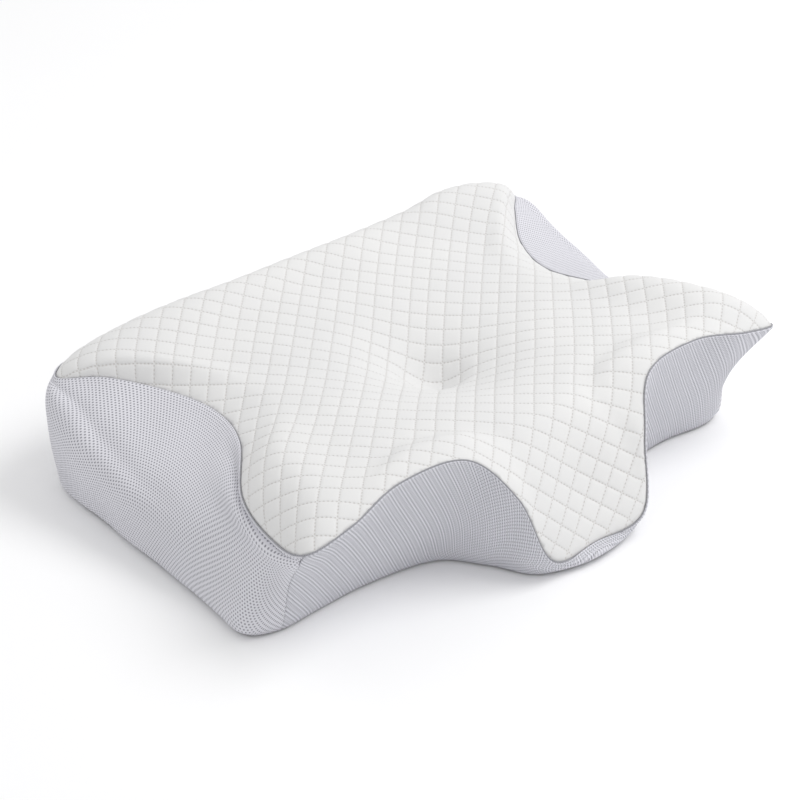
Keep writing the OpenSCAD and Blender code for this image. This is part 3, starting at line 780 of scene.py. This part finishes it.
def woven_finish(name, light, dark, pitch, shine=0.3, rough=0.6):
    """Plain or satin weave for the zip's tape and the label."""
    m, t, s, cloth, place = new_finish(name, rough, sheen=0.05, specular=shine)
    u, v, _ = t.split(cloth)
    turns = [t.calc("SINE", t.calc("MULTIPLY", x, 2 * math.pi / p))
             for x, p in ((u, pitch), (v, pitch * 0.8))]
    weave = t.calc("ADD", t.calc("MULTIPLY", t.calc("MULTIPLY", *turns), 0.5), 0.5)
    _, drift, fuzz = t.group(KNIT, Cloth=cloth, Loop=0.6, Place=place)
    colour = t.blend(weave, light, dark)
    colour = t.blend(t.calc("MULTIPLY", t.ramp(drift, 0.35, 0.75), 0.25), colour, dark)
    finish_surface(t, s, colour, weave, 0.4, 0.15, t.ramp(fuzz, 0.2, 0.8, rough - 0.08, rough + 0.1))
    return m


def coil_finish():
    m, t, s, cloth, place = new_finish("nylon_coil", 0.35, specular=0.5)
    drift, scuff = t.noise(place, 60.0, 3.0), t.noise(place, 500.0, 3.0)
    colour = t.blend(drift, (0.78, 0.79, 0.80), (0.68, 0.69, 0.71))
    finish_surface(t, s, colour, scuff, 0.15, 0.1, t.ramp(scuff, 0.3, 0.7, 0.28, 0.5))
    return m


def metal_finish():
    m, t, s, cloth, place = new_finish("satin_zip_metal", 0.35, specular=0.5)
    s.inputs["Metallic"].default_value = 1.0
    cast, scuff = t.noise(place, 220.0, 4.0), t.noise(place, 1500.0, 3.0, 0.7)
    colour = t.blend(t.ramp(cast, 0.35, 0.7), (0.62, 0.63, 0.65), (0.48, 0.49, 0.51))
    colour = t.blend(t.ramp(scuff, 0.62, 0.72), colour, (0.78, 0.78, 0.79))
    finish_surface(t, s, colour, t.calc("ADD", cast, t.calc("MULTIPLY", scuff, 0.4)), 0.2, 0.1,
                   t.ramp(scuff, 0.3, 0.75, 0.26, 0.5))
    return m


def floor_finish():
    m, t, s, cloth, place = new_finish("studio_floor", 0.9, specular=0.1)
    grain = t.noise(place, 3.0, 2.0)
    t.feed(s.inputs["Base Color"], t.blend(grain, (0.93, 0.93, 0.935), (0.95, 0.95, 0.955)))
    return m


# ---------------------------------------------------------------- camera, floor and light
def studio():
    az, el, away, aim = math.radians(-41.2), math.radians(31.5), 1.8965, Vector((-0.0145, 0.0347, 0.05))
    back = Vector((math.sin(az) * math.cos(el), -math.cos(az) * math.cos(el), math.sin(el)))
    camera = bpy.data.objects.new("camera", bpy.data.cameras.new("camera"))
    camera.data.lens, camera.data.sensor_width = 99, 36
    camera.location = aim + back * away
    camera.rotation_euler = back.to_track_quat("Z", "Y").to_euler()
    bpy.context.scene.collection.objects.link(camera)
    bpy.context.scene.camera = camera

    mesh = bpy.data.meshes.new("floor")
    r = 6.0
    mesh.from_pydata([(-r, -r, 0), (r, -r, 0), (r, r, 0), (-r, r, 0)], [], [(0, 1, 2, 3)])
    floor = bpy.data.objects.new("floor", mesh)
    floor.location.z = -0.0003
    mesh.materials.append(floor_finish())
    bpy.context.scene.collection.objects.link(floor)

    def soft_box(name, place, aim_at, size, watts):
        lamp = bpy.data.lights.new(name, "AREA")
        lamp.shape, lamp.size, lamp.energy = "DISK", size, watts
        o = bpy.data.objects.new(name, lamp)
        o.location = place
        o.rotation_euler = (Vector(place) - Vector(aim_at)).to_track_quat("Z", "Y").to_euler()
        bpy.context.scene.collection.objects.link(o)
    soft_box("key_box", (1.2, -0.75, 2.0), (0, 0, 0.05), 1.6, 27)
    soft_box("back_box", (-0.2, 2.4, 1.9), (0, 0, 0.05), 1.6, 4)
    world = bpy.data.worlds.new("studio")
    world.use_nodes = True
    world.node_tree.nodes["Background"].inputs[0].default_value = (1.0, 1.0, 1.0, 1.0)
    world.node_tree.nodes["Background"].inputs[1].default_value = 0.79
    bpy.context.scene.world = world
    bpy.context.scene.view_settings.view_transform = "Standard"


studio()


def dress(piece, material, slot, *nodes):
    """Gives a piece its finish and hides the CAD nodes that it stands for."""
    piece.data.materials.append(material)
    if nodes:
        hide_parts(*nodes)
    return piece


# ---------------------------------------------------------------- the cover
# Painted shade: the dark colour put into the air holes and rib furrows of both wall meshes.
mesh_hole_shade = (0.11, 0.11, 0.135)
side_mesh = mesh_finish("side_air_mesh", (0.73, 0.727, 0.775), mesh_hole_shade, 2.8, 0.24, 1.4, 0.0, 0.7, 0.1)
front_mesh = mesh_finish("front_air_mesh", (0.74, 0.74, 0.79), mesh_hole_shade, 2.4, 0.22, 2.7, 1.05, 0.6, 0.85)
dark_yarn = yarn_finish("seam_yarn", (0.42, 0.42, 0.45), (0.27, 0.27, 0.29), 1.6)

top = dress(quilted_top(), quilted_finish(), "quilted_knit", "top_panel")
for name, stations, finish, node in (
        ("side_wall_right", range(END_R, TIP_R + 1), side_mesh, "side_panel_right"),
        ("front_wall", range(TIP_R, TIP_L + 1), front_mesh, "front_panel"),
        ("side_wall_left", range(TIP_L, END_L + 1), side_mesh, "side_panel_left")):
    dress(wall_panel(name, stations), finish, "air_mesh", node)
dress(back_panel("back_wall_upper", ZIP_Z + ZIP_STRIP / 2, 200), side_mesh, "air_mesh", "back_panel_upper")
dress(back_panel("back_wall_lower", 0, ZIP_Z - ZIP_STRIP / 2), side_mesh, "air_mesh", "back_panel_lower")
dress(base_cloth(), side_mesh, "air_mesh", "base_panel")

lift = np.column_stack([-0.8 * seam_in, np.full(COUNT, 0.6)])
dress(rope("top_piping_yarn", seam[:, :3] + 0.7 * lift, SEAM_YARN, True, twist=0.12),
      dark_yarn, "piping_yarn", "top_piping")
low_lift = np.column_stack([-0.9 * belly_in, np.full(COUNT, -0.45)])
dress(rope("base_piping_yarn", wall(3.0) + 0.9 * low_lift, BASE_YARN, True, twist=0.12),
      dark_yarn, "piping_yarn", "base_piping")
for name, station, node in (("corner_seam_yarn_right", TIP_R, "corner_seam_right"),
                            ("corner_seam_yarn_left", TIP_L, "corner_seam_left")):
    path = wall_grid[1:-1, station] + 0.25 * wall_out[1:-1, station]
    dress(rope(name, path, SEAM_YARN, False, twist=0.15, pitch=4), dark_yarn, "piping_yarn", node)

# ---------------------------------------------------------------- foam and sleeve
foam = dress(closed_form("foam_block", FOAM_D), foam_finish(), "foam", "foam_core")
dress(closed_form("foam_sleeve", LINER_D, 0.8),
      woven_finish("sleeve_knit", (0.8, 0.8, 0.82), (0.68, 0.68, 0.7), 1.2), "liner_knit", "liner_upper", "liner_base")


# ---------------------------------------------------------------- zip and label
def box_mm(node):
    """The two corners of a CAD part's box, in millimetres."""
    return [tuple(c / MM for c in corner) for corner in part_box(node)]


def zip_tape(side):
    (x0, y0, z0), (x1, y1, z1) = box_mm("zip_tape_upper" if side > 0 else "zip_tape_lower")
    xs, zs = np.linspace(x0, x1, 151), np.linspace(z0, z1, 9)
    X, Z = np.meshgrid(xs, zs)
    edge = np.abs(Z - (z0 if side > 0 else z1))
    Y = y1 - 0.25 + 0.2 * np.exp(-((edge - 2.0) / 0.5) ** 2) + 0.12 * undulation(X, Z, Z, 30, 11)
    points = np.stack([X, Y, Z], 2).reshape(-1, 3)
    return thicken(make_piece("tape_upper" if side > 0 else "tape_lower", points, grid_faces(9, 151),
                              np.stack([X, Z], 2).reshape(-1, 2)), 0.6)


def zip_coil(side):
    (x0, y0, z0), (x1, y1, z1) = box_mm("zip_coil_upper" if side > 0 else "zip_coil_lower")
    turns = int((x1 - x0) / 2.5)
    a = np.linspace(0, turns * 2 * math.pi, turns * 14 + 1)
    x = x0 + 1 + (x1 - x0 - 2) * a / a[-1]
    half = (z1 - z0) / 2 - 0.3
    z = (z0 + z1) / 2 + half * np.cos(a) * side
    y = (y0 + y1) / 2 + 0.55 * np.sin(a)
    return rope("coil_upper" if side > 0 else "coil_lower", np.stack([x, y, z], 1), 0.34, False, sides=6)


def care_label():
    (x0, y0, z0), (x1, y1, z1) = box_mm("care_label")
    xs, zs = np.linspace(x0, x1, 25), np.linspace(z0, z1, 21)
    X, Z = np.meshgrid(xs, zs)
    up = (Z - z0) / (z1 - z0)
    Y = y0 + 0.1 + 0.9 * up ** 2 * np.sin((X - x0) / (x1 - x0) * math.pi) + 0.5 * up * np.sin(X / 6)
    points = np.stack([X, Y, Z], 2).reshape(-1, 3)
    fabric = np.stack([X, Z], 2).reshape(-1, 2)
    return thicken(make_piece("satin_label", points, grid_faces(21, 25), fabric), -0.25)


tape_weave = woven_finish("tape_weave", (0.74, 0.75, 0.78), (0.6, 0.61, 0.64), 0.9)
nylon = coil_finish()
for side, part in ((1, "upper"), (-1, "lower")):
    dress(zip_tape(side), tape_weave, "zip_tape", "zip_tape_" + part)
    dress(zip_coil(side), nylon, "zip_coil", "zip_coil_" + part)
dress(care_label(), woven_finish("label_weave", (0.9, 0.9, 0.9), (0.8, 0.8, 0.8), 0.6, 0.6, 0.35),
      "label_satin", "care_label")

metal = metal_finish()
for node in ("zip_stops", "zip_slider", "zip_pull"):
    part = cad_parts[node]
    part.data.materials.clear()
    part.data.materials.append(metal)
    worn = part.modifiers.new("worn_edges", "BEVEL")
    worn.width, worn.segments, worn.limit_method = 0.12 * MM, 2, "ANGLE"

bpy.context.view_layer.update()
